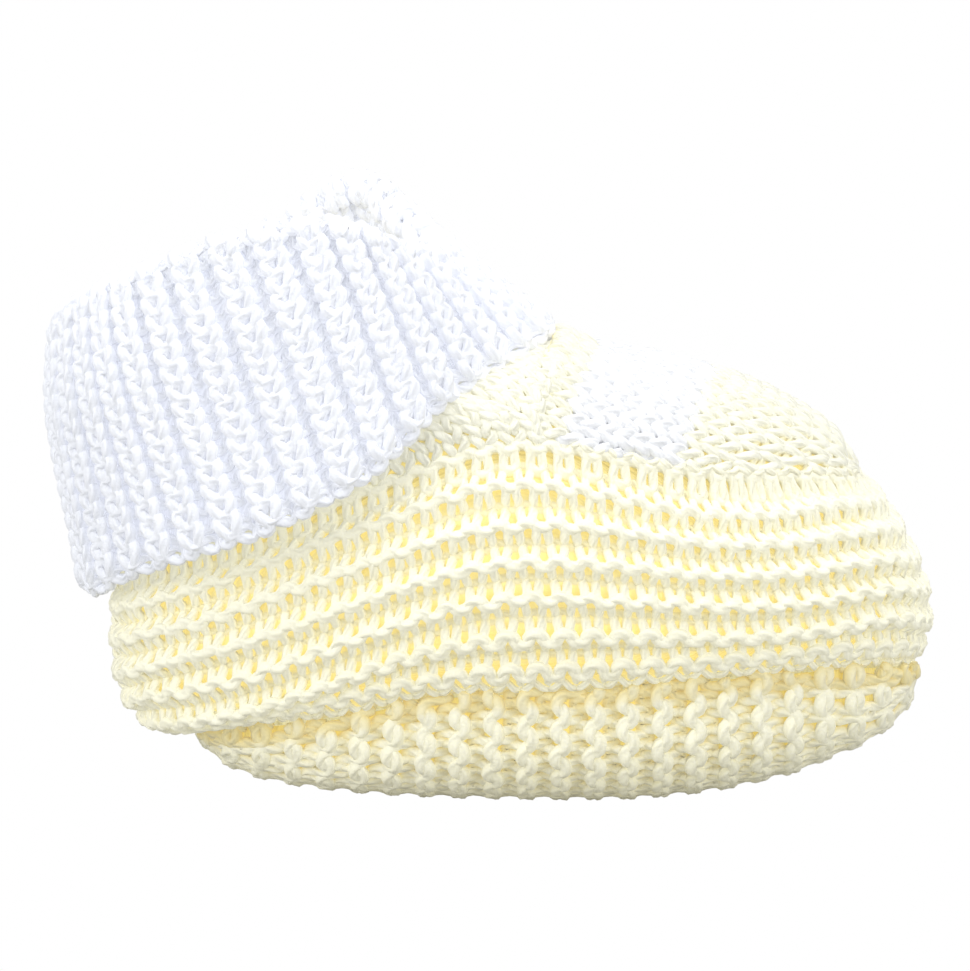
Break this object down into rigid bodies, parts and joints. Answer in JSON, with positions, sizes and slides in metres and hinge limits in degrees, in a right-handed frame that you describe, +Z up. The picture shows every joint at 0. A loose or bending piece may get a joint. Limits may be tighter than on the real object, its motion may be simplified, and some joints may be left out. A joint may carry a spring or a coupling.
{
  "type": "baby bootie",
  "caption": "Soft knitted baby bootie with a ribbed turn-down cuff, garter stitch side wall and sole, and an instep panel in colour blocks.",
  "frame": {"origin": "middle of the flat patch on the underside of the sole that the bootie rests on", "axes": "+X heel to toe, +Z up, +Y to the bootie's left side"},
  "size_m": [0.1072, 0.0516, 0.0725],
  "materials": {
    "yellow_garter": "matt baby yarn, garter stitch",
    "yellow_fine_knit": "matt baby yarn, stocking stitch",
    "white_fine_knit": "matt baby yarn, stocking stitch",
    "white_rib": "matt baby yarn, rib",
    "yellow_sewing_yarn": "matt twisted yarn",
    "white_sewing_yarn": "matt twisted yarn"
  },
  "bodies": {
    "foot": {"sole_panel": "yellow_garter", "side_wall": "yellow_garter", "instep_toe": "yellow_fine_knit", "instep_stripe": "white_fine_knit", "ankle_band": "yellow_fine_knit", "sole_seam": "yellow_sewing_yarn", "instep_seam": "yellow_sewing_yarn", "heel_seam": "yellow_sewing_yarn"},
    "leg": {"leg_rib": "white_rib", "leg_seam": "white_sewing_yarn"},
    "cuff_roll": {"cuff_fold": "white_rib"},
    "cuff_hem": {"cuff_turn_down": "white_rib", "cuff_seam": "white_sewing_yarn"}
  },
  "joints": [
    {"name": "ankle_flex", "type": "hinge", "parent": "foot", "child": "leg", "pos_m": [-0.024, 0, 0.03], "axis": [0, -1, 0], "range_deg": [0, 6]},
    {"name": "cuff_fold_lift", "type": "slide", "parent": "leg", "child": "cuff_roll", "axis": [-0.454, 0, 0.891], "range_m": [0, 0.006]},
    {"name": "cuff_hem_lift", "type": "slide", "parent": "cuff_roll", "child": "cuff_hem", "axis": [-0.454, 0, 0.891], "range_m": [0, 0.006]}
  ],
  "couplings": [
    {"joint": "cuff_hem_lift", "follows": "cuff_fold_lift", "ratio": 1}
  ]
}
